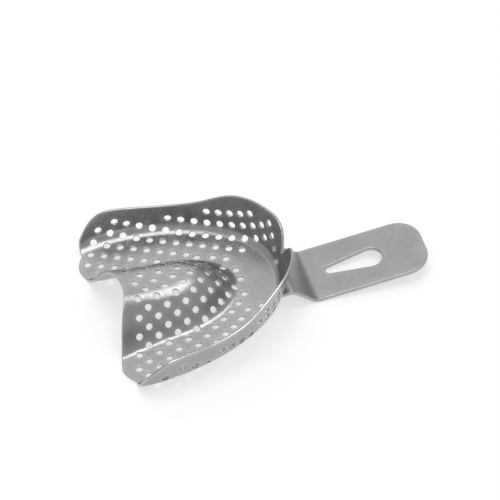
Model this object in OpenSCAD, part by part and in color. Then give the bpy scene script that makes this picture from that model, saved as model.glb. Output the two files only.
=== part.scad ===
// Perforated impression tray for the upper jaw, with its flat handle.
// The tray rests on its two heels and on the bend of the handle.
// +X runs along the handle, +Y is the tray's left side, +Z is up.

/* [Bowl] */
// Distance from the heel line to the front wall, on the floor
bowl_length = 55.6; // [45:0.2:70]
// Half width of the floor at the heels
heel_half_width = 31.2; // [24:0.2:38]
// How far round the front curve stays square to the handle
front_fullness = 26; // [15:0.5:32]
// How far the sides bulge past the heels
side_bulge = 5.2; // [0:0.2:9]
// How far the heels reach behind the heel line
heel_reach = 1; // [0:0.1:4]
// Thickness of the pressed sheet
sheet_t = 0.9; // [0.6:0.05:1.6]

/* [Flange] */
// Height of the wall in the notch at the front middle
notch_height = 5.6; // [4:0.1:12]
// Height of the wall beside the notch
front_height = 12.4; // [8:0.1:18]
// Height of the wall at the canine
canine_height = 14; // [8:0.1:20]
// Height of the wall where it dips at the side
side_height = 9.2; // [5:0.1:16]
// Height of the wall over the heel
rear_height = 10.5; // [5:0.1:16]
// Outward lean of the wall at the front
front_flare = 20; // [5:1:35]
// Outward lean of the wall at the side
side_flare = 5.5; // [2:1:30]
// Outward lean of the wall at the heel
heel_flare = 16; // [2:1:30]
// Inside radius between floor and wall at the front
front_fillet = 2.6; // [1:0.1:6]
// Inside radius between floor and wall at the sides
side_fillet = 3.6; // [1:0.1:8]

/* [Palate] */
// Height of the palate dome at the open end
dome_height = 14.8; // [6:0.2:20]
// Height of the palate dome at its front
dome_front_height = 10.5; // [6:0.2:20]
// Half width of the dome at the open end
dome_half_width = 18.5; // [14:0.2:27]
// Half width of the dome at its front
dome_front_half_width = 16.1; // [12:0.2:24]
// Where the dome starts to close, along the handle direction
dome_start = 18.5; // [10:0.5:34]
// Length over which the dome closes
dome_run = 24.6; // [12:0.2:30]
// Squareness of the dome: 1 is a soft wave, 3 is flat on top with steep sides
dome_power = 1.9; // [1:0.1:3]
// Forward position of the open edge on the middle line
edge_middle = 5.4; // [0:0.1:12]
// Rearward position of the open edge beside the heels
edge_rear = -2.9; // [-8:0.1:2]

/* [Perforation] */
// Diameter of the holes
hole_d = 2.2; // [1.2:0.05:3]
// Spacing of the holes along a row
hole_pitch = 6.2; // [4:0.05:8]
// Position of the first hole of the middle row
hole_start = 9.7; // [5:0.05:12]
// Spacing between the rows, measured along the pressed surface
row_gap = 3.2; // [2.4:0.05:4]
// Slant of the rows back towards the sides
row_slant = 0.15; // [0:0.01:0.3]
// Bow of the rows back towards the sides
row_bow = 0.0026; // [0:0.0001:0.01]
// How much the rows close up towards the front
row_squeeze = 0.004; // [0:0.0005:0.01]
// How much the rows spread towards the front
row_spread = 0.002; // [0:0.0005:0.01]
// Spacing of the square hole grid on the left floor and wall
left_pitch = 4.3; // [3:0.05:6]
// Turn of that grid
left_turn = 30.6; // [0:0.2:45]
// Plain margin along the rim
rim_margin = 4.18; // [1:0.01:8]
// Plain margin along the open edge
edge_margin = 2.9; // [1:0.1:8]

/* [Handle] */
// Width of the handle
handle_w = 22.2; // [14:0.2:32]
// Thickness of the handle strip
handle_t = 1.3; // [0.8:0.05:2.5]
// Position of the handle's outer end
handle_end = 103.8; // [80:0.5:140]
// Step down from the floor's underside to the handle
handle_drop = 7.1; // [2:0.1:14]
// Position of the lower bend
bend_x = 64.6; // [58:0.2:74]
// Slope of the stepped part
step_slope = 46; // [25:1:70]
// Inside radius of the bends
bend_r = 2.6; // [1:0.1:6]
// Radius of the corners at the outer end
end_corner_r = 8; // [2:0.5:11]
// Start of the tongue welded under the floor
tongue_start = 45.4; // [40:0.2:50]

/* [Slot] */
// Centre of the wide end of the slot
slot_wide_x = 85.9; // [76:0.1:100]
// Centre of the narrow end of the slot
slot_narrow_x = 72.6; // [68:0.1:80]
// Radius of the wide end
slot_wide_r = 3.8; // [2:0.1:6]
// Radius of the narrow end
slot_narrow_r = 1.6; // [0.8:0.1:4]

/* [Welds] */
// Distance of the outer welds from the middle line
weld_offset = 6.4; // [3:0.1:9]
// Position of the welds along the handle direction
weld_x = 49.2; // [46:0.1:52]
// Diameter of a weld
weld_d = 2.8; // [1.5:0.1:4]
// How far a weld reaches into each sheet
weld_bite = 0.25; // [0.1:0.05:0.5]

/* [Hidden] */
steel = [0.72, 0.73, 0.75];
big = 80;
n_st = 27;
n_in = 12;
n_fil = 3;
n_wall = 4;
n_row = n_in + n_fil + n_wall;
fan = 12;

// Floor outline: half a U, from the front middle to the heel.
c0 = [bowl_length, 0];
c1 = [bowl_length, front_fullness];
c2 = [bowl_length * 0.31, heel_half_width + side_bulge];
c3 = [-heel_reach, heel_half_width];
function bez(t) = c0 * pow(1 - t, 3) + c1 * 3 * t * pow(1 - t, 2)
  + c2 * 3 * t * t * (1 - t) + c3 * pow(t, 3);
function dbez(t) = (c1 - c0) * pow(1 - t, 2) + (c2 - c1) * 2 * t * (1 - t) + (c3 - c2) * t * t;
function unit(v) = v / norm(v);
function side(v) = [v[1], -v[0]];
function out_dir(t) = unit(side(dbez(t)));

// A smooth curve through a few values given at rising positions.
function seg(k, x, i = 0) = i >= len(k) - 2 || x < k[i + 1][0] ? i : seg(k, x, i + 1);
function slope(k, i) = i == 0 || i == len(k) - 1 ? 0
  : (k[i + 1][1] - k[i - 1][1]) / (k[i + 1][0] - k[i - 1][0]);
function herm(k, i, u, w) = k[i][1] * (2 * u * u * u - 3 * u * u + 1)
  + slope(k, i) * w * (u * u * u - 2 * u * u + u)
  + k[i + 1][1] * (3 * u * u - 2 * u * u * u)
  + slope(k, i + 1) * w * (u * u * u - u * u);
function smooth_at(k, x, i) = herm(k, i, (x - k[i][0]) / (k[i + 1][0] - k[i][0]),
  k[i + 1][0] - k[i][0]);
function smooth(k, x) = smooth_at(k, x, seg(k, x));

wall_heights = [[0, notch_height], [0.06, front_height], [0.16, canine_height],
  [0.3, canine_height], [0.46, side_height + 0.6], [0.6, side_height],
  [0.78, rear_height], [1, rear_height]];
wall_flares = [[0, front_flare], [0.35, (front_flare + side_flare) / 2],
  [0.7, side_flare], [1, heel_flare]];
corner_x = 11.6;
function heel_round(x) = x > corner_x ? 1
  : 1 - pow((corner_x - x) / (corner_x + heel_reach), 2);
function notch_v(t) = t < 0.06 ? notch_height + (front_height - notch_height)
  * (1 - pow(1 - t / 0.06, 1.6)) : smooth(wall_heights, t);
function wall_h(t) = max(0.05, notch_v(t) * heel_round(bez(t)[0]));
function flare(t) = smooth(wall_flares, t);
function fillet_full(t) = front_fillet + (side_fillet - front_fillet) * min(1, 2 * t);
function turn(t) = 90 - flare(t);
// Wall height left for the straight part, and the fillet that fits under it.
function fillet(t) = fillet_full(t);
function t_len(t) = fillet(t) * tan(turn(t) / 2);
function arc_len(t) = fillet(t) * turn(t) * PI / 180;
function wall_len(t) = wall_h(t) / cos(flare(t));
function straight(t) = max(0, wall_len(t) - t_len(t));
function profile_len(t) = wall_len(t) >= t_len(t) ? arc_len(t) + straight(t)
  : arc_len(t) * wall_len(t) / t_len(t);

// Palate dome as a height over the floor.
taper_end = 23;
function back(x) = min(1, max(0, (taper_end - x) / taper_end));
function dome_w(x) = dome_front_half_width + (dome_half_width - dome_front_half_width)
  * pow(back(x), 1.5);
function dome_h(x) = dome_front_height + (dome_height - dome_front_height) * pow(back(x), 1.5);
function rho(x, y) = norm([max(0, x - dome_start) / dome_run, y / dome_w(x)]);
function dome(x, y) = dome_h(x) * (1 + cos(180 * pow(min(1, rho(x, y)), dome_power))) / 2;
function dome_n(x, y) = unit([(dome(x - 0.1, y) - dome(x + 0.1, y)) / 0.2,
  (dome(x, y - 0.1) - dome(x, y + 0.1)) / 0.2, 1]);

// Open edge at the back, as a position along X for a distance from the middle.
arch_half = 24.5;
function edge_x(y) = edge_rear
  + (edge_middle - edge_rear) * (1 + cos(180 * min(1, abs(y) / arch_half))) / 2
  + (heel_in[0] - edge_rear) * pow(max(0, (abs(y) - 22) / (heel_in[1] - 22)), 2);

// A point and its normal on the inner face, s past the start of the fillet.
function angle_at(t, s) = min(turn(t), s / fillet(t) * 180 / PI);
function run_at(t, s) = -t_len(t) + fillet(t) * sin(angle_at(t, s))
  + max(0, s - arc_len(t)) * sin(flare(t));
function rise_at(t, s) = fillet(t) * (1 - cos(angle_at(t, s)))
  + max(0, s - arc_len(t)) * cos(flare(t));
function wall_p(t, s) = concat(bez(t) + out_dir(t) * run_at(t, s), [rise_at(t, s)]);
function wall_n(t, s) = concat(-out_dir(t) * sin(angle_at(t, s)), [cos(angle_at(t, s))]);

// Spokes of the floor run from the dome's spine to the start of the fillet.
function t_at(i) = i / n_st - 0.75 * sin(360 * i / n_st) / (2 * PI);
function base_in(t) = bez(t) - out_dir(t) * t_len(t);
heel_in = base_in(1);
function past(t) = min(1, max(0, (dome_start - base_in(t)[0]) / (dome_start - base_in(1)[0])));
function spine_x(t) = dome_start + (edge_middle - dome_start) * past(t);
function floor_y(t, w) = base_in(t)[1] * w;
function floor_x0(t, w) = spine_x(t) + (base_in(t)[0] - spine_x(t)) * w;
function floor_x1(w) = edge_x(floor_y(1, w)) - floor_x0(1, w);
function floor_x(t, w) = floor_x0(t, w) + floor_x1(w) * pow(past(t), 2);
function floor_p(x, y) = [x, y, dome(x, y)];

function row_s(t, j) = j <= n_in + n_fil
  ? min(arc_len(t), profile_len(t)) * (j - n_in) / n_fil
  : arc_len(t) + (profile_len(t) - arc_len(t)) * (j - n_in - n_fil) / n_wall;
function safe_s(t, j) = profile_len(t) > arc_len(t) ? row_s(t, j)
  : profile_len(t) * (j - n_in) / (n_fil + n_wall);
function face_p(t, j) = j < n_in ? floor_p(floor_x(t, j / n_in), floor_y(t, j / n_in))
  : wall_p(t, safe_s(t, j));
function face_n(t, j) = j < n_in ? dome_n(floor_x(t, j / n_in), floor_y(t, j / n_in))
  : wall_n(t, safe_s(t, j));

function flip(v, s) = [v[0], v[1] * s, v[2]];
half_p = [for (i = [0:n_st]) [for (j = [0:n_row]) face_p(t_at(i), j)]];
half_n = [for (i = [0:n_st]) [for (j = [0:n_row]) face_n(t_at(i), j)]];
function sgn(i) = i < 0 ? -1 : 1;
top_pts = [for (i = [-n_st:n_st]) for (j = [0:n_row]) flip(half_p[abs(i)][j], sgn(i))];
low_pts = [for (i = [-n_st:n_st]) for (j = [0:n_row])
  flip(half_p[abs(i)][j] - sheet_t * half_n[abs(i)][j], sgn(i))];
n_all = len(top_pts);
first_spine = [for (i = [0:n_st]) if (past(t_at(i)) > 0) i][0] - 1;
function spine_i(i) = max(first_spine, abs(i));
function id(i, j) = (j == 0 ? spine_i(i) + n_st : i + n_st) * (n_row + 1) + j;
function tri_ok(a) = a[0] != a[1] && a[1] != a[2] && a[0] != a[2];
function cells(k, up) = [for (i = [-n_st:n_st - 1]) for (j = [0:n_row - 1])
  for (c = [[id(i, j), id(i + 1, j), id(i + 1, j + 1)],
            [id(i, j), id(i + 1, j + 1), id(i, j + 1)]])
    if (tri_ok(c)) up ? [c[0] + k, c[2] + k, c[1] + k] : c + [k, k, k]];
function rim_cells() = [for (i = [-n_st:n_st - 1])
  for (c = [[id(i, n_row), id(i + 1, n_row), id(i + 1, n_row) + n_all],
            [id(i, n_row), id(i + 1, n_row) + n_all, id(i, n_row) + n_all]]) c];
function heel_cells(i, f) = [for (j = [0:n_row - 1])
  for (c = [[id(i, j), id(i, j + 1), id(i, j + 1) + n_all],
            [id(i, j), id(i, j + 1) + n_all, id(i, j) + n_all]])
    f ? [c[0], c[2], c[1]] : c];

// Holes: laid out on the flat sheet, then carried over the floor and up the wall.
m_near = 48;
near_t = [for (i = [0:m_near]) i / m_near];
function gap(q, t) = (q - bez(t)) * out_dir(t);
function best(q, i = 0, b = 0) = i > m_near ? b
  : best(q, i + 1, norm(q - bez(near_t[i])) < norm(q - bez(near_t[b])) ? i : b);
function fine_t(q, t) = min(1, max(0, t + (q - bez(t)) * unit(dbez(t)) / norm(dbez(t)) / 3));
function near_of(q) = fine_t(q, fine_t(q, near_t[best(q)]));
function on_plan(q, t) = gap(q, t) < -t_len(t);
function hole_p(q, t) = on_plan(q, t) ? floor_p(q[0], q[1]) : wall_p(t, gap(q, t) + t_len(t));
function hole_n(q, t) = on_plan(q, t) ? dome_n(q[0], q[1]) : wall_n(t, gap(q, t) + t_len(t));
function clear_edge(q, t) = on_plan(q, t) ? q[0] > edge_x(q[1]) + edge_margin
  : bez(t)[0] > edge_margin - 1.2;
function clear_rim(q, t) = gap(q, t) + t_len(t) < profile_len(t) - rim_margin;
function keep(q, t) = clear_edge(q, t) && clear_rim(q, t);
// Rows of the near half keep their spacing along the surface, so they close up
// in plan where the dome is steep. Row 0 runs down the middle.
walk_steps = 16;
function steepness(x, y) = (dome(x, y + 0.1) - dome(x, y - 0.1)) / 0.2;
function walk(x, step, i = 0, y = 0) = i == walk_steps ? y
  : walk(x, step, i + 1, y + step / sqrt(1 + pow(steepness(x, y), 2)));
function row_x0(k, r) = hole_start + hole_pitch * (k + (r % 2 == 0 ? 0 : 0.5))
  - row_slant * abs(row_gap * r) - row_bow * pow(row_gap * r, 2);
function row_x(k, r) = row_x0(k, r) - row_squeeze * pow(max(0, row_x0(k, r) - 18), 2);
spread_x = 17;
function row_q(x, s) =
  [x, -walk(x, s / walk_steps) * (1 + row_spread * (x - spread_x) * abs(s) / 20)];
function grid_q(k, r) = row_q(row_x(k, r), row_gap * r);
left_u = left_pitch * [cos(left_turn), -sin(left_turn)];
left_v = left_pitch * [sin(left_turn), cos(left_turn)];
left_start = [43.2, 29.2];
left_from = 14.5;
function on_left(q) = q[1] > left_from || (q[0] > 36 && q[1] > 1);
function left_free(q) = !(q[0] > tongue_start - 0.8 && q[0] < bowl_length - 0.4 && q[1] < 9.6);
function right_free(q) = !(q[0] > tongue_start - 0.8 && q[1] > -12);
function inner_q(q) = [q[0], abs(q[1])];
function fits(q) = let (m = inner_q(q)) keep(m, near_of(m));
left_all = [for (i = [-16:10]) for (j = [-9:6]) left_start + i * left_u + j * left_v];
left_holes = [for (q = left_all) if (on_left(q) && left_free(q) && fits(q)) q];
right_holes = [for (r = [0:16]) for (k = [-3:10]) let (q = grid_q(k, r))
  if (right_free(q) && fits(q)) q];
function alone(q) = len([for (h = left_holes) if (norm(h - q) < 3.3) 1]) == 0;
middle_holes = [for (r = [-6:-1]) for (k = [-3:10]) let (q = grid_q(k, r))
  if (!on_left(q) && fits(q) && alone(q)) q];
holes = [for (q = concat(left_holes, right_holes, middle_holes))
  let (m = inner_q(q), t = near_of(m))
    [hole_p(m, t), hole_n(m, t), q[1] < 0 ? -1 : 1]];
echo(holes = len(holes));

module drill(p, n) {
  translate(p)
    rotate([0, acos(n[2]), atan2(n[1], n[0])])
      cylinder(d = hole_d, h = 4 * sheet_t, center = true, $fn = 24);
}

// Rest pose: the tray is tipped until heels and handle bend touch the ground.
under_z = -sheet_t - handle_drop - handle_t;
step_top = -sheet_t;
mid_r = bend_r + handle_t / 2;
c_low = [bend_x + mid_r * tan(step_slope / 2), step_top - handle_drop + bend_r];
heel_foot = [edge_rear + 0.2, -sheet_t];
foot_gap = norm(c_low - heel_foot);
drop_angle = atan2(heel_foot[1] - c_low[1], c_low[0] - heel_foot[0]);
pitch = drop_angle + asin((bend_r + handle_t) / foot_gap);
foot_z = heel_foot[0] * sin(pitch) + heel_foot[1] * cos(pitch);
rest_x = -((handle_end + edge_rear) * cos(pitch) - under_z * sin(pitch)) / 2;

module rested() {
  translate([rest_x, 0, -foot_z])
    rotate([0, -pitch, 0])
      children();
}

module weld_spots(grow) {
  for (y = [-weld_offset, 0, weld_offset])
    translate([weld_x, y, -sheet_t - weld_bite])
      cylinder(d = weld_d + grow, h = 2 * weld_bite, $fn = 32);
}

module shell_body() {
  polyhedron(points = concat(top_pts, low_pts),
    faces = concat(cells(0, true), cells(n_all, false), rim_cells(),
      heel_cells(n_st, true), heel_cells(-n_st, false)), convexity = 12);
}

module tray_shell() {
  color(steel)
    rested()
      difference() {
        shell_body();
        for (h = holes)
          drill(flip(h[0], h[2]), flip(h[1], h[2]));
        weld_spots(0);
      }
}

// Side view of the strip: tongue, upper bend, step, lower bend and flat.
n_bend = 10;
step_rise = handle_drop - 2 * mid_r * (1 - cos(step_slope));
step_run = step_rise / tan(step_slope);
up_x = c_low[0] - 2 * mid_r * sin(step_slope) - step_run;
up_z = step_top - handle_t - bend_r;
function upper_bend(r) = [for (k = [0:n_bend]) let (a = step_slope * k / n_bend)
  [up_x + r * sin(a), up_z + r * cos(a)]];
function lower_bend(r) = [for (k = [0:n_bend]) let (a = step_slope * (1 - k / n_bend))
  [c_low[0] - r * sin(a), c_low[1] - r * cos(a)]];
function backward(v) = [for (k = [len(v) - 1:-1:0]) v[k]];
strip_top = concat([[tongue_start, step_top]], upper_bend(bend_r + handle_t),
  lower_bend(bend_r), [[handle_end + 1, step_top - handle_drop]]);
strip_under = concat([[tongue_start, step_top - handle_t]], upper_bend(bend_r),
  lower_bend(bend_r + handle_t), [[handle_end + 1, under_z]]);
module strip_side() {
  polygon(concat(strip_top, backward(strip_under)));
}

function corner_arc(y, a0) = [for (k = [0:12]) let (a = a0 + 90 * k / 12)
  [handle_end - end_corner_r + end_corner_r * cos(a),
   y * (handle_w / 2 - end_corner_r) + end_corner_r * sin(a)]];
module strip_plan() {
  polygon(concat([[tongue_start - 1, -handle_w / 2]], corner_arc(-1, -90),
    corner_arc(1, 0), [[tongue_start - 1, handle_w / 2]]));
}

slot_gap = slot_wide_x - slot_narrow_x;
slot_a = acos((slot_wide_r - slot_narrow_r) / slot_gap);
function slot_arc(x, r, a0, a1, n) = [for (k = [0:n]) let (a = a0 + (a1 - a0) * k / n)
  [x + r * cos(a), r * sin(a)]];
module slot_plan() {
  polygon(concat(slot_arc(slot_wide_x, slot_wide_r, slot_a - 180, 180 - slot_a, 40),
    slot_arc(slot_narrow_x, slot_narrow_r, 180 - slot_a, 180 + slot_a, 12)));
}

module handle() {
  color(steel)
    rested()
      difference() {
        intersection() {
          rotate([90, 0, 0])
            linear_extrude(height = big, center = true)
              strip_side();
          translate([0, 0, -big / 2])
            linear_extrude(height = big)
              strip_plan();
        }
        translate([0, 0, -big / 2])
          linear_extrude(height = big)
            slot_plan();
        weld_spots(0);
      }
}

module spot_welds() {
  color([0.62, 0.62, 0.64])
    rested()
      weld_spots(0);
}

tray_shell();
handle();
spot_welds();
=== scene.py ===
"""Looks of the perforated impression tray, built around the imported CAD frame."""

import math

import bpy
from mathutils import Matrix, Vector
from mathutils.geometry import delaunay_2d_cdt


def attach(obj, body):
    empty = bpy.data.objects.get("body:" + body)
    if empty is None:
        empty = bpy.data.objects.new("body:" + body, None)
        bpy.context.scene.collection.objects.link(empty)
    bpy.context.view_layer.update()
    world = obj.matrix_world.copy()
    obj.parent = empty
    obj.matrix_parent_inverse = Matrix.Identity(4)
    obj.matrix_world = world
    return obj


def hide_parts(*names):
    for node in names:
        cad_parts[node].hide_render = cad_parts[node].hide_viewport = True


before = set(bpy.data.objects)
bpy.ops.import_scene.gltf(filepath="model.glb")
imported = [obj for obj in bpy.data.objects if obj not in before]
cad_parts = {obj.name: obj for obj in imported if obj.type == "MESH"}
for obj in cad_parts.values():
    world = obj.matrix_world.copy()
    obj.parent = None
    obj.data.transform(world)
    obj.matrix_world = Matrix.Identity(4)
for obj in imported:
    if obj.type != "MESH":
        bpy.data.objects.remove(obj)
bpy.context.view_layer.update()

MM = 0.001

# ---------------------------------------------------------------- dimensions, mm
BOWL_LENGTH = 55.6
HEEL_HALF_WIDTH = 31.2
FRONT_FULLNESS = 26.0
SIDE_BULGE = 5.2
HEEL_REACH = 1.0
SHEET_T = 0.9
NOTCH_HEIGHT = 5.6
FRONT_HEIGHT = 12.4
CANINE_HEIGHT = 14.0
SIDE_HEIGHT = 9.2
REAR_HEIGHT = 10.5
FRONT_FLARE = 20.0
SIDE_FLARE = 5.5
HEEL_FLARE = 16.0
FRONT_FILLET = 2.6
SIDE_FILLET = 3.6
NOTCH_END = 0.06
NOTCH_CURVE = 1.6
LEAST_WALL = 0.05
CORNER_X = 11.6
DOME_HEIGHT = 14.8
DOME_FRONT_HEIGHT = 10.5
DOME_HALF_WIDTH = 18.5
DOME_FRONT_HALF_WIDTH = 16.1
DOME_START = 18.5
DOME_RUN = 24.6
DOME_POWER = 1.9
TAPER_END = 23.0
TAPER_POWER = 1.5
EDGE_MIDDLE = 5.4
EDGE_REAR = -2.9
ARCH_HALF = 24.5
HEEL_EDGE_START = 22.0
HOLE_R = 1.1
HANDLE_W = 22.2
HANDLE_T = 1.3
HANDLE_END = 103.8
HANDLE_DROP = 7.1
BEND_X = 64.6
STEP_SLOPE = math.radians(46)
BEND_R = 2.6
END_CORNER_R = 8.0
TONGUE_START = 45.4
TONGUE_CORNER_R = 1.0
SLOT_WIDE_X, SLOT_WIDE_R = 85.9, 3.8
SLOT_NARROW_X, SLOT_NARROW_R = 72.6, 1.6

# Rounding of the cut edges, and the spacing of the mesh.
RIM_ROUND = 0.32
HOLE_ROUND = 0.2
HANDLE_ROUND = 0.34
SHELL_GRID = 0.85
HANDLE_GRID = 1.5
# Least gap from a cut edge to an inner mesh point, as a part of the grid.
EDGE_SPACE = 0.55
# How far the painted edge highlight reaches in from a cut edge, and how strong it is on the face.
HIGHLIGHT_REACH = 1.2
FACE_HIGHLIGHT = 0.6
OUTLINE_STEP = 0.7
HANDLE_STEP = 0.8

# ---------------------------------------------------------------- floor outline
C0 = (BOWL_LENGTH, 0.0)
C1 = (BOWL_LENGTH, FRONT_FULLNESS)
C2 = (BOWL_LENGTH * 0.31, HEEL_HALF_WIDTH + SIDE_BULGE)
C3 = (-HEEL_REACH, HEEL_HALF_WIDTH)


def outline_at(t):
    u = 1 - t
    return tuple(
        C0[k] * u ** 3 + 3 * C1[k] * t * u * u + 3 * C2[k] * t * t * u + C3[k] * t ** 3
        for k in (0, 1)
    )


def outline_slope(t):
    u = 1 - t
    return tuple(
        (C1[k] - C0[k]) * u * u + (C2[k] - C1[k]) * 2 * t * u + (C3[k] - C2[k]) * t * t
        for k in (0, 1)
    )


def outward(t):
    d = outline_slope(t)
    n = math.hypot(*d)
    return d[1] / n, -d[0] / n


def smooth(knots, x):
    """A smooth curve through a few values given at rising positions."""
    last = len(knots) - 1

    def slope(i):
        if i in (0, last):
            return 0.0
        (x0, y0), (x1, y1) = knots[i - 1], knots[i + 1]
        return (y1 - y0) / (x1 - x0)

    i = 0
    while i < last - 1 and x >= knots[i + 1][0]:
        i += 1
    w = knots[i + 1][0] - knots[i][0]
    u = (x - knots[i][0]) / w
    return (
        knots[i][1] * (2 * u ** 3 - 3 * u * u + 1)
        + slope(i) * w * (u ** 3 - 2 * u * u + u)
        + knots[i + 1][1] * (3 * u * u - 2 * u ** 3)
        + slope(i + 1) * w * (u ** 3 - u * u)
    )


WALL_HEIGHTS = [
    (0, NOTCH_HEIGHT), (NOTCH_END, FRONT_HEIGHT), (0.16, CANINE_HEIGHT),
    (0.3, CANINE_HEIGHT), (0.46, SIDE_HEIGHT + 0.6), (0.6, SIDE_HEIGHT),
    (0.78, REAR_HEIGHT), (1, REAR_HEIGHT),
]
WALL_FLARES = [
    (0, FRONT_FLARE), (0.35, (FRONT_FLARE + SIDE_FLARE) / 2),
    (0.7, SIDE_FLARE), (1, HEEL_FLARE),
]


def wall_height(t):
    x = outline_at(t)[0]
    if t < NOTCH_END:
        rise = 1 - (1 - t / NOTCH_END) ** NOTCH_CURVE
        h = NOTCH_HEIGHT + (FRONT_HEIGHT - NOTCH_HEIGHT) * rise
    else:
        h = smooth(WALL_HEIGHTS, t)
    if x <= CORNER_X:
        h *= 1 - ((CORNER_X - x) / (CORNER_X + HEEL_REACH)) ** 2
    return max(LEAST_WALL, h)


def flare(t):
    return math.radians(smooth(WALL_FLARES, t))


def fillet(t):
    return FRONT_FILLET + (SIDE_FILLET - FRONT_FILLET) * min(1, 2 * t)


def turn(t):
    return math.pi / 2 - flare(t)


def tangent_len(t):
    return fillet(t) * math.tan(turn(t) / 2)


def arc_len(t):
    return fillet(t) * turn(t)


def profile_len(t):
    """Length of the wall from the start of the fillet up to the rim."""
    w, l = wall_height(t) / math.cos(flare(t)), tangent_len(t)
    return arc_len(t) + w - l if w >= l else arc_len(t) * w / l


def base_in(t):
    b, n, l = outline_at(t), outward(t), tangent_len(t)
    return b[0] - n[0] * l, b[1] - n[1] * l


HEEL_IN = base_in(1)


# ---------------------------------------------------------------- pressed surface
def dome(x, y):
    b = min(1, max(0, (TAPER_END - x) / TAPER_END)) ** TAPER_POWER
    w = DOME_FRONT_HALF_WIDTH + (DOME_HALF_WIDTH - DOME_FRONT_HALF_WIDTH) * b
    h = DOME_FRONT_HEIGHT + (DOME_HEIGHT - DOME_FRONT_HEIGHT) * b
    r = math.hypot(max(0, x - DOME_START) / DOME_RUN, y / w)
    return h * (1 + math.cos(math.pi * min(1, r) ** DOME_POWER)) / 2


def dome_normal(x, y, d=0.1):
    dx = (dome(x - d, y) - dome(x + d, y)) / (2 * d)
    dy = (dome(x, y - d) - dome(x, y + d)) / (2 * d)
    return Vector((dx, dy, 1)).normalized()


def edge_x(y):
    y = abs(y)
    arch = (1 + math.cos(math.pi * min(1, y / ARCH_HALF))) / 2
    hook = max(0, (y - HEEL_EDGE_START) / (HEEL_IN[1] - HEEL_EDGE_START)) ** 2
    return EDGE_REAR + (EDGE_MIDDLE - EDGE_REAR) * arch + (HEEL_IN[0] - EDGE_REAR) * hook


SAMPLES = 64
REFINE_STEPS = 3
TRACE = [(i / SAMPLES, outline_at(i / SAMPLES)) for i in range(SAMPLES + 1)]


def near(x, y):
    """Place along the outline closest to a plan point, and the gap outside it."""
    t = min(TRACE, key=lambda k: (k[1][0] - x) ** 2 + (k[1][1] - y) ** 2)[0]
    for _ in range(REFINE_STEPS):
        b, d = outline_at(t), outline_slope(t)
        n = math.hypot(*d)
        t = min(1, max(0, t + ((x - b[0]) * d[0] + (y - b[1]) * d[1]) / n / n / 3))
    b, o = outline_at(t), outward(t)
    return t, (x - b[0]) * o[0] + (y - b[1]) * o[1]


def wall_point(t, s):
    f, a = fillet(t), min(turn(t), s / fillet(t))
    past, fl = max(0, s - arc_len(t)), flare(t)
    d = -tangent_len(t) + f * math.sin(a) + past * math.sin(fl)
    z = f * (1 - math.cos(a)) + past * math.cos(fl)
    b, n = outline_at(t), outward(t)
    return Vector((b[0] + n[0] * d, b[1] + n[1] * d, z))


def wall_normal(t, s):
    a, n = min(turn(t), s / fillet(t)), outward(t)
    return Vector((-n[0] * math.sin(a), -n[1] * math.sin(a), math.cos(a)))


def shell_place(q):
    """Flat-sheet point to its point and normal on the inner face."""
    x, y = q
    t, g = near(x, abs(y))
    if g < -tangent_len(t):
        return Vector((x, y, dome(x, y))), dome_normal(x, y)
    s = g + tangent_len(t)
    p, n = wall_point(t, s), wall_normal(t, s)
    if y < 0:
        p.y, n.y = -p.y, -n.y
    return p, n


def shell_unplace(p):
    """Point near the inner face back to its flat-sheet point."""
    t, g = near(p.x, abs(p.y))
    l, f = tangent_len(t), fillet(t)
    if g < -l:
        return p.x, p.y
    a = math.atan2(g + l, f - p.z)
    if a < turn(t):
        s = f * max(0, a)
    else:
        top = wall_point(t, arc_len(t))
        o, fl = outward(t), flare(t)
        reach = (p.x - top.x) * o[0] + (abs(p.y) - top.y) * o[1]
        s = arc_len(t) + reach * math.sin(fl) + (p.z - top.z) * math.cos(fl)
    b, o = outline_at(t), outward(t)
    x, y = b[0] + o[0] * (s - l), b[1] + o[1] * (s - l)
    return x, math.copysign(y, p.y)


# ---------------------------------------------------------------- hole pattern
HOLE_START, HOLE_PITCH, ROW_GAP = 9.7, 6.2, 3.2
ROW_SLANT, ROW_BOW, ROW_SQUEEZE = 0.15, 0.0026, 0.004
ROW_SPREAD, SPREAD_X, WALK_STEPS = 0.002, 17.0, 16
LEFT_PITCH, LEFT_TURN = 4.3, math.radians(30.6)
LEFT_START = (43.2, 29.2)
RIM_MARGIN, EDGE_MARGIN = 4.18, 2.9
# On the wall the margin along the open edge is smaller by this much.
WALL_EDGE_EASE = 1.2
CLOSEST_HOLES = 3.3
SQUEEZE_FROM, SPREAD_SPAN = 18, 20
# The square grid covers the far side, and the far half of the front.
LEFT_FROM, LEFT_FRONT_X, LEFT_FRONT_Y = 14.5, 36, 1
# The floor over the handle's tongue stays plain.
TONGUE_GAP, FRONT_GAP = 0.8, 0.4
PLAIN_LEFT, PLAIN_RIGHT = 9.6, -12


def fits(x, y):
    t, g = near(x, abs(y))
    if g < -tangent_len(t):
        clear = x > edge_x(y) + EDGE_MARGIN
    else:
        clear = outline_at(t)[0] > EDGE_MARGIN - WALL_EDGE_EASE
    return clear and g + tangent_len(t) < profile_len(t) - RIM_MARGIN


def walk(x, s):
    """Sideways place reached after going s along the surface from the middle."""
    y, step = 0.0, s / WALK_STEPS
    for _ in range(WALK_STEPS):
        slope = (dome(x, y + 0.1) - dome(x, y - 0.1)) / 0.2
        y += step / math.hypot(1, slope)
    return y


def row_hole(k, r):
    s = ROW_GAP * r
    x = HOLE_START + HOLE_PITCH * (k + (0 if r % 2 == 0 else 0.5))
    x -= ROW_SLANT * abs(s) + ROW_BOW * s ** 2
    x -= ROW_SQUEEZE * max(0, x - SQUEEZE_FROM) ** 2
    return x, -walk(x, s) * (1 + ROW_SPREAD * (x - SPREAD_X) * abs(s) / SPREAD_SPAN)


def on_left(x, y):
    return y > LEFT_FROM or (x > LEFT_FRONT_X and y > LEFT_FRONT_Y)


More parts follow.
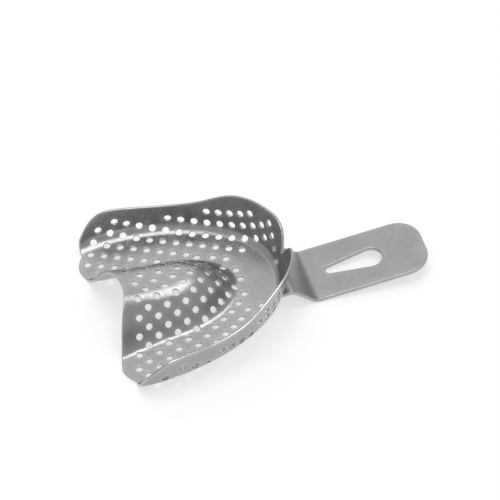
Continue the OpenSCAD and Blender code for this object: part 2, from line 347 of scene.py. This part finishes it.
def hole_centres():
    ca, sa = math.cos(LEFT_TURN), math.sin(LEFT_TURN)
    plain_from, plain_to = TONGUE_START - TONGUE_GAP, BOWL_LENGTH - FRONT_GAP
    left, right, middle = [], [], []
    for i in range(-16, 11):
        for j in range(-9, 7):
            x = LEFT_START[0] + LEFT_PITCH * (i * ca + j * sa)
            y = LEFT_START[1] + LEFT_PITCH * (-i * sa + j * ca)
            over_tongue = plain_from < x < plain_to and y < PLAIN_LEFT
            if on_left(x, y) and not over_tongue and fits(x, y):
                left.append((x, y))
    for r in range(17):
        for k in range(-3, 11):
            x, y = row_hole(k, r)
            if not (x > plain_from and y > PLAIN_RIGHT) and fits(x, y):
                right.append((x, y))
    for r in range(-6, 0):
        for k in range(-3, 11):
            x, y = row_hole(k, r)
            alone = all(math.hypot(x - a, y - b) >= CLOSEST_HOLES for a, b in left)
            if not on_left(x, y) and fits(x, y) and alone:
                middle.append((x, y))
    return left + right + middle


# ---------------------------------------------------------------- sheet builder
def inset(loop, e):
    """Closed loop with the material on its left, moved e into the material."""
    moved = []
    for i, p in enumerate(loop):
        a, b = loop[i - 1], loop[(i + 1) % len(loop)]
        d0 = Vector((p[0] - a[0], p[1] - a[1])).normalized()
        d1 = Vector((b[0] - p[0], b[1] - p[1])).normalized()
        n = Vector((-d0.y - d1.y, d0.x + d1.x)).normalized()
        cos_half = max(0.6, n.dot(Vector((-d0.y, d0.x))))
        moved.append((p[0] + n.x * e / cos_half, p[1] + n.y * e / cos_half))
    return moved


def resample(line, step):
    """Points at an even spacing along an open line, both ends kept."""
    run = [0.0]
    for a, b in zip(line, line[1:]):
        run.append(run[-1] + math.hypot(b[0] - a[0], b[1] - a[1]))
    n = max(1, round(run[-1] / step))
    out, j = [], 0
    for i in range(n + 1):
        want = run[-1] * i / n
        while j < len(run) - 2 and run[j + 1] < want:
            j += 1
        u = (want - run[j]) / max(1e-9, run[j + 1] - run[j])
        a, b = line[j], line[j + 1]
        out.append((a[0] + (b[0] - a[0]) * u, a[1] + (b[1] - a[1]) * u))
    return out


def inside(q, loop):
    x, y = q
    hit = False
    for (ax, ay), (bx, by) in zip(loop, loop[1:] + loop[:1]):
        if (ay > y) != (by > y) and x < ax + (bx - ax) * (y - ay) / (by - ay):
            hit = not hit
    return hit


class Near:
    """Nearest distance from a point to a cloud of points, by a grid of cells."""

    def __init__(self, points, cell):
        self.cell, self.cells = cell, {}
        for p in points:
            key = (math.floor(p[0] / cell), math.floor(p[1] / cell))
            self.cells.setdefault(key, []).append(p)

    def gap(self, q):
        i, j = math.floor(q[0] / self.cell), math.floor(q[1] / self.cell)
        best = self.cell
        for a in (i - 1, i, i + 1):
            for b in (j - 1, j, j + 1):
                for p in self.cells.get((a, b), ()):
                    best = min(best, math.hypot(p[0] - q[0], p[1] - q[1]))
        return best


def build_sheet(name, loops, place, thick, grid, to_world):
    """A closed sheet of one thickness with every cut edge rounded.

    loops: (edge, middle, face, round) rings; the first is the outline, the
    others are holes, and all have the material on their left.
    """
    flat, fence, owner = [], [], []
    for k, (_, _, face, _) in enumerate(loops):
        start, n = len(flat), len(face)
        flat += face
        owner += [k] * n
        fence += [(start + i, start + (i + 1) % n) for i in range(n)]
    cloud = Near(flat, 2.0)
    outer = loops[0][2]
    xs, ys = [p[0] for p in outer], [p[1] for p in outer]
    holes = [(sum(p[0] for p in l[2]) / len(l[2]), sum(p[1] for p in l[2]) / len(l[2]), l[2])
             for l in loops[1:]]
    reach = [max(math.hypot(p[0] - cx, p[1] - cy) for p in l) for cx, cy, l in holes]
    rise = grid * math.sqrt(3) / 2
    rim_gaps = [0.0] * len(flat)
    for j in range(math.ceil((max(ys) - min(ys)) / rise)):
        y = min(ys) + (j + 0.5) * rise
        for i in range(math.ceil((max(xs) - min(xs)) / grid)):
            x = min(xs) + (i + (0.25 if j % 2 else 0.75)) * grid
            gap = cloud.gap((x, y))
            if gap < EDGE_SPACE * grid or not inside((x, y), outer):
                continue
            if any(math.hypot(x - h[0], y - h[1]) < r and inside((x, y), h[2])
                   for h, r in zip(holes, reach)):
                continue
            flat.append((x, y))
            owner.append(-1)
            rim_gaps.append(gap)
    got = delaunay_2d_cdt([Vector(p) for p in flat], fence, [], 0, 1e-7)
    back = [o[0] for o in got[3]]
    tris = []
    for f in got[2]:
        ids = [back[i] for i in f]
        kinds = {owner[i] for i in ids}
        if len(kinds) == 1 and -1 not in kinds:
            k = kinds.pop()
            mid = tuple(sum(flat[i][c] for i in ids) / 3 for c in (0, 1))
            if k > 0 or not inside(mid, outer):
                continue
        tris.append(ids)

    verts, normals, edge_highlight_mask, faces = [], [], [], []

    def add(p, n, w):
        verts.append(p)
        normals.append(n)
        edge_highlight_mask.append(w)
        return len(verts) - 1

    placed = [place(q) for q in flat]
    # Each point carries a mask for a painted highlight along the cut edges: it fades over the face
    # near an edge and is full on the rounded edge.
    top = [add(p, n, max(0.0, 1 - g / HIGHLIGHT_REACH) * FACE_HIGHLIGHT) for (p, n), g in zip(placed, rim_gaps)]
    low = [add(p - thick * n, -n, edge_highlight_mask[i]) for i, (p, n) in enumerate(placed)]
    for a, b, c in tris:
        faces.append((top[a], top[b], top[c]))
        faces.append((low[a], low[c], low[b]))

    start = 0
    for edge, mid, face, e in loops:
        n = len(face)
        rings = [[top[start + i] for i in range(n)], [], [], [], [],
                 [low[start + i] for i in range(n)]]
        bevel = e * (1 - math.sqrt(0.5))
        for i in range(n):
            p_face = placed[start + i][0]
            p_mid, n_mid = place(mid[i])
            p_edge, n_edge = place(edge[i])
            out = (p_edge - p_face).normalized()
            # The rounded edge rings get the full painted highlight mask.
            rings[1].append(add(p_mid - bevel * n_mid, (n_mid + out).normalized(), 1))
            rings[2].append(add(p_edge - e * n_edge, out, 1))
            rings[3].append(add(p_edge - (thick - e) * n_edge, out, 1))
            rings[4].append(add(p_mid - (thick - bevel) * n_mid,
                                (out - n_mid).normalized(), 1))
        for a, b in zip(rings, rings[1:]):
            for i in range(n):
                m = (i + 1) % n
                faces.append((a[m], a[i], b[i], b[m]))
        start += n

    mesh = bpy.data.meshes.new(name)
    mesh.from_pydata([to_world(p) * MM for p in verts], [], faces)
    mesh.update()
    mesh.polygons.foreach_set("use_smooth", [True] * len(mesh.polygons))
    turned = [(to_world(n) - to_world(Vector((0, 0, 0)))).normalized() for n in normals]
    mesh.normals_split_custom_set_from_vertices(turned)
    # The mask is stored for the steel material, which paints a highlight with it: brighter colour and
    # a little less roughness along the cut edges.
    layer = mesh.attributes.new("edge_highlight_mask", "FLOAT", "POINT")
    layer.data.foreach_set("value", [float(w) for w in edge_highlight_mask])
    piece = bpy.data.objects.new(name, mesh)
    bpy.context.scene.collection.objects.link(piece)
    return piece


# ---------------------------------------------------------------- rest pose
UNDER_Z = -SHEET_T - HANDLE_DROP - HANDLE_T
MID_R = BEND_R + HANDLE_T / 2
LOW_X = BEND_X + MID_R * math.tan(STEP_SLOPE / 2)
LOW_Z = -SHEET_T - HANDLE_DROP + BEND_R
FOOT_X, FOOT_Z = EDGE_REAR + 0.2, -SHEET_T
FOOT_GAP = math.hypot(LOW_X - FOOT_X, LOW_Z - FOOT_Z)
PITCH = math.atan2(FOOT_Z - LOW_Z, LOW_X - FOOT_X) + math.asin((BEND_R + HANDLE_T) / FOOT_GAP)
LIFT = FOOT_X * math.sin(PITCH) + FOOT_Z * math.cos(PITCH)
REST_X = -((HANDLE_END + EDGE_REAR) * math.cos(PITCH) - UNDER_Z * math.sin(PITCH)) / 2


def rested(p):
    c, s = math.cos(PITCH), math.sin(PITCH)
    return Vector((REST_X + p.x * c - p.z * s, p.y, p.x * s + p.z * c - LIFT))


# ---------------------------------------------------------------- tray shell
def shell_outline():
    dense = 600
    rim = []
    for i in range(dense + 1):
        t = i / dense
        b, o, l = outline_at(t), outward(t), tangent_len(t)
        s = profile_len(t)
        rim.append((b[0] + o[0] * (s - l), b[1] + o[1] * (s - l)))
    half = resample(rim, OUTLINE_STEP)[:-1]
    ys = [HEEL_IN[1] * (1 - 2 * i / 200) for i in range(201)]
    rear = resample([(edge_x(y), y) for y in ys], OUTLINE_STEP)
    other = [(x, -y) for x, y in reversed(half)]
    return half + rear + other[:-1]


def round_hole(x, y, steps=26):
    p, n = shell_place((x, y))
    u = n.orthogonal().normalized()
    v = n.cross(u)

    def ring(r):
        out = []
        for i in range(steps):
            a = -2 * math.pi * i / steps
            out.append(shell_unplace(p + r * (math.cos(a) * u + math.sin(a) * v)))
        return out

    e = HOLE_ROUND
    return ring(HOLE_R), ring(HOLE_R + e * (1 - math.sqrt(0.5))), ring(HOLE_R + e), e


def loop_rings(loop, e):
    return loop, inset(loop, e * (1 - math.sqrt(0.5))), inset(loop, e), e


shell_loops = [loop_rings(shell_outline(), RIM_ROUND)]
shell_loops += [round_hole(x, y) for x, y in hole_centres()]
shell = build_sheet("tray_sheet", shell_loops, shell_place, SHEET_T, SHELL_GRID, rested)

# ---------------------------------------------------------------- handle
STEP_RISE = HANDLE_DROP - 2 * MID_R * (1 - math.cos(STEP_SLOPE))
STEP_RUN = STEP_RISE / math.tan(STEP_SLOPE)
UP_X = LOW_X - 2 * MID_R * math.sin(STEP_SLOPE) - STEP_RUN
UP_Z = -SHEET_T - HANDLE_T - BEND_R
LOWER_ARC = BEND_R * STEP_SLOPE
UPPER_ARC = (BEND_R + HANDLE_T) * STEP_SLOPE
STRAIGHT = STEP_RUN / math.cos(STEP_SLOPE)
U_LOWER = LOW_X - LOWER_ARC
U_STRAIGHT = U_LOWER - STRAIGHT
U_UPPER = U_STRAIGHT - UPPER_ARC
U_START = U_UPPER - (UP_X - TONGUE_START)


def handle_place(q):
    """Flat strip to its upper face. On the flat end the first number is X."""
    u, y = q
    if u >= LOW_X:
        return Vector((u, y, -SHEET_T - HANDLE_DROP)), Vector((0, 0, 1))
    if u >= U_LOWER:
        a = (LOW_X - u) / BEND_R
        n = Vector((math.sin(a), 0, math.cos(a)))
        return Vector((LOW_X, y, LOW_Z)) - BEND_R * n, n
    r = BEND_R + HANDLE_T
    n = Vector((math.sin(STEP_SLOPE), 0, math.cos(STEP_SLOPE)))
    if u >= U_STRAIGHT:
        along = Vector((math.cos(STEP_SLOPE), 0, -math.sin(STEP_SLOPE)))
        return Vector((UP_X, y, UP_Z)) + r * n + (u - U_STRAIGHT) * along, n
    if u >= U_UPPER:
        a = (u - U_UPPER) / r
        n = Vector((math.sin(a), 0, math.cos(a)))
        return Vector((UP_X, y, UP_Z)) + r * n, n
    return Vector((UP_X + u - U_UPPER, y, -SHEET_T)), Vector((0, 0, 1))


def arc(cx, cy, r, a0, a1, n):
    return [(cx + r * math.cos(a0 + (a1 - a0) * k / n), cy + r * math.sin(a0 + (a1 - a0) * k / n))
            for k in range(n + 1)]


def line(a, b, step):
    return resample([a, b], step)[1:-1]


def handle_outline():
    half, q = HANDLE_W / 2, math.pi / 2
    rt, re = TONGUE_CORNER_R, END_CORNER_R
    corners = [
        arc(U_START + rt, -half + rt, rt, -2 * q, -q, 6),
        arc(HANDLE_END - re, -half + re, re, -q, 0, 22),
        arc(HANDLE_END - re, half - re, re, 0, q, 22),
        arc(U_START + rt, half - rt, rt, q, 2 * q, 6),
    ]
    loop = []
    for i, c in enumerate(corners):
        loop += c + line(c[-1], corners[(i + 1) % 4][0], HANDLE_STEP)
    return loop


def slot_loop():
    a = math.acos((SLOT_WIDE_R - SLOT_NARROW_R) / (SLOT_WIDE_X - SLOT_NARROW_X))
    wide = arc(SLOT_WIDE_X, 0, SLOT_WIDE_R, a - math.pi, math.pi - a, 40)
    narrow = arc(SLOT_NARROW_X, 0, SLOT_NARROW_R, math.pi - a, math.pi + a, 14)
    loop = wide + line(wide[-1], narrow[0], HANDLE_STEP)
    loop += narrow + line(narrow[-1], wide[0], HANDLE_STEP)
    return loop[::-1]


handle_loops = [loop_rings(handle_outline(), HANDLE_ROUND), loop_rings(slot_loop(), HANDLE_ROUND)]
handle = build_sheet("handle_strip", handle_loops, handle_place, HANDLE_T, HANDLE_GRID, rested)


# ---------------------------------------------------------------- materials
def steel(name, base, rough, streak, mottle, edge_highlight_gain):
    mat = bpy.data.materials.new(name)
    mat.use_nodes = True
    nt = mat.node_tree
    nodes, links = nt.nodes, nt.links
    shader = nodes["Principled BSDF"]
    shader.inputs["Metallic"].default_value = 1.0

    coord = nodes.new("ShaderNodeTexCoord")
    stretch = nodes.new("ShaderNodeMapping")
    stretch.inputs["Scale"].default_value = (1.0, 14.0, 14.0)
    links.new(coord.outputs["Object"], stretch.inputs["Vector"])

    def noise(vector, scale, detail):
        n = nodes.new("ShaderNodeTexNoise")
        n.inputs["Scale"].default_value = scale
        n.inputs["Detail"].default_value = detail
        links.new(vector, n.inputs["Vector"])
        return n.outputs["Fac"]

    def spread(value, low, high, out_low, out_high):
        m = nodes.new("ShaderNodeMapRange")
        for key, v in (("From Min", low), ("From Max", high),
                       ("To Min", out_low), ("To Max", out_high)):
            m.inputs[key].default_value = v
        links.new(value, m.inputs["Value"])
        return m.outputs["Result"]

    def combine(op, a, b):
        m = nodes.new("ShaderNodeMath")
        m.operation = op
        for i, v in enumerate((a, b)):
            if isinstance(v, (int, float)):
                m.inputs[i].default_value = v
            else:
                links.new(v, m.inputs[i])
        return m.outputs[0]

    grain = noise(stretch.outputs["Vector"], 420.0, 4.0)
    cloud = noise(coord.outputs["Object"], 160.0, 3.0)
    pits = noise(coord.outputs["Object"], 2600.0, 2.0)
    # Mask of the cut edges from the sheet, used to paint a highlight along them.
    edge_highlight_node = nodes.new("ShaderNodeAttribute")
    edge_highlight_node.attribute_name = "edge_highlight_mask"

    tone = combine("ADD", spread(grain, 0.3, 0.7, -streak, streak),
                   spread(cloud, 0.3, 0.7, -mottle, mottle))
    tone = combine("ADD", tone, spread(pits, 0.3, 0.7, -mottle * 0.5, mottle * 0.5))
    # Painted highlight: the colour is made brighter along the cut edges.
    tone = combine("ADD", tone, combine("MULTIPLY", edge_highlight_node.outputs["Fac"], edge_highlight_gain))
    tone = combine("ADD", tone, 1.0)
    colour = nodes.new("ShaderNodeMix")
    colour.data_type = "RGBA"
    colour.blend_type = "MULTIPLY"
    colour.inputs[0].default_value = 1.0
    colour.inputs[6].default_value = (*base, 1)
    rgb = nodes.new("ShaderNodeCombineColor")
    for i in range(3):
        links.new(tone, rgb.inputs[i])
    links.new(rgb.outputs[0], colour.inputs[7])
    links.new(colour.outputs[2], shader.inputs["Base Color"])

    gloss = combine("ADD", spread(cloud, 0.3, 0.7, -0.05, 0.05),
                    spread(grain, 0.3, 0.7, -0.05, 0.05))
    gloss = combine("ADD", gloss, rough)
    gloss = combine("SUBTRACT", gloss, combine("MULTIPLY", edge_highlight_node.outputs["Fac"], 0.1))
    links.new(gloss, shader.inputs["Roughness"])

    height = combine("ADD", combine("MULTIPLY", grain, 0.6), combine("MULTIPLY", pits, 0.4))
    bump = nodes.new("ShaderNodeBump")
    bump.inputs["Strength"].default_value = 0.16
    bump.inputs["Distance"].default_value = 0.0002
    links.new(height, bump.inputs["Height"])
    links.new(bump.outputs["Normal"], shader.inputs["Normal"])
    return mat


SHELL_MAT = steel("tray_steel", (0.37, 0.374, 0.381), 0.28, 0.06, 0.05, 0.3)
HANDLE_MAT = steel("handle_steel", (0.34, 0.343, 0.350), 0.31, 0.07, 0.05, 0.2)
WELD_MAT = steel("weld_steel", (0.26, 0.26, 0.265), 0.45, 0.04, 0.08, 0.0)

shell.data.materials.append(SHELL_MAT)
handle.data.materials.append(HANDLE_MAT)
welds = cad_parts["spot_welds"]
welds.data.materials.clear()
welds.data.materials.append(WELD_MAT)

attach(shell, "root")
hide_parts("tray_shell")
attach(handle, "root")
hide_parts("handle")


# ---------------------------------------------------------------- stage
# The paper is lit from below like a light table, so that the holes read as pale.
PAPER_TONE, PAPER_GLOW = 0.45, 0.6
SKY_STRENGTH = 0.6


def floor_plane(half=2.5, cells=8):
    mesh = bpy.data.meshes.new("floor")
    step = 2 * half / cells
    pts = [(-half + i * step, -half + j * step, 0)
           for j in range(cells + 1) for i in range(cells + 1)]
    row = cells + 1
    mesh.from_pydata(pts, [], [(j * row + i, j * row + i + 1, (j + 1) * row + i + 1,
                                (j + 1) * row + i)
                               for j in range(cells) for i in range(cells)])
    obj = bpy.data.objects.new("floor", mesh)
    bpy.context.scene.collection.objects.link(obj)
    mat = bpy.data.materials.new("floor_paper")
    mat.use_nodes = True
    shader = mat.node_tree.nodes["Principled BSDF"]
    shader.inputs["Base Color"].default_value = (PAPER_TONE, PAPER_TONE, PAPER_TONE, 1)
    shader.inputs["Emission Color"].default_value = (1, 1, 1, 1)
    shader.inputs["Emission Strength"].default_value = PAPER_GLOW
    shader.inputs["Roughness"].default_value = 0.9
    obj.data.materials.append(mat)
    return obj


floor_plane()


def soft_light(name, place, aim, size, power):
    data = bpy.data.lights.new(name, "AREA")
    data.shape = "RECTANGLE"
    data.size, data.size_y = size
    data.energy = power
    obj = bpy.data.objects.new(name, data)
    obj.location = place
    obj.rotation_mode = "QUATERNION"
    obj.rotation_quaternion = (Vector(aim) - Vector(place)).to_track_quat("-Z", "Y")
    bpy.context.scene.collection.objects.link(obj)
    return obj


CENTRE = (0.0, 0.0, 0.01)
soft_light("overhead", (0.05, 0.1, 1.0), CENTRE, (0.7, 0.7), 3.2)
soft_light("rear", (0.1, 0.8, 0.65), CENTRE, (0.9, 0.6), 0.8)

world = bpy.data.worlds.new("studio")
world.use_nodes = True
world.node_tree.nodes["Background"].inputs["Color"].default_value = (1, 1, 1, 1)
world.node_tree.nodes["Background"].inputs["Strength"].default_value = SKY_STRENGTH
bpy.context.scene.world = world
bpy.context.scene.view_settings.view_transform = "Standard"

# ---------------------------------------------------------------- camera
# Directions of the picture's right and up sides on the tray as it lies flat.
LOOK_TURN = math.radians(-17.66)
LOOK_DOWN = math.radians(45.97)
FIT_PITCH = math.radians(5.7)
VIEW_WIDTH = 0.1577
LENS, SENSOR = 1500.0, 36.0


def tipped(v, by):
    c, s = math.cos(by), math.sin(by)
    return Vector((v.x * c - v.z * s, v.y, v.x * s + v.z * c))


right = Vector((math.cos(LOOK_TURN), math.sin(LOOK_TURN), 0))
level = Vector((-math.sin(LOOK_TURN), math.cos(LOOK_TURN), 0))
back = -level * math.cos(LOOK_DOWN) + Vector((0, 0, math.sin(LOOK_DOWN)))
right, back = (tipped(v, PITCH - FIT_PITCH) for v in (right, back))
up = back.cross(right)
camera = bpy.data.objects.new("camera", bpy.data.cameras.new("camera"))
camera.data.lens, camera.data.sensor_width = LENS, SENSOR
distance = VIEW_WIDTH * LENS / SENSOR

# The tray's origin lands right and down of the picture's corner by these parts.
TRAY_RIGHT, TRAY_DOWN = 0.219, 0.6358
origin = rested(Vector((0, 0, 0))) * MM
target = origin + right * VIEW_WIDTH * (0.5 - TRAY_RIGHT) + up * VIEW_WIDTH * (TRAY_DOWN - 0.5)
camera.matrix_world = Matrix((right, up, back)).transposed().to_4x4()
camera.location = target + back * distance
bpy.context.scene.collection.objects.link(camera)
bpy.context.scene.camera = camera

bpy.context.view_layer.update()
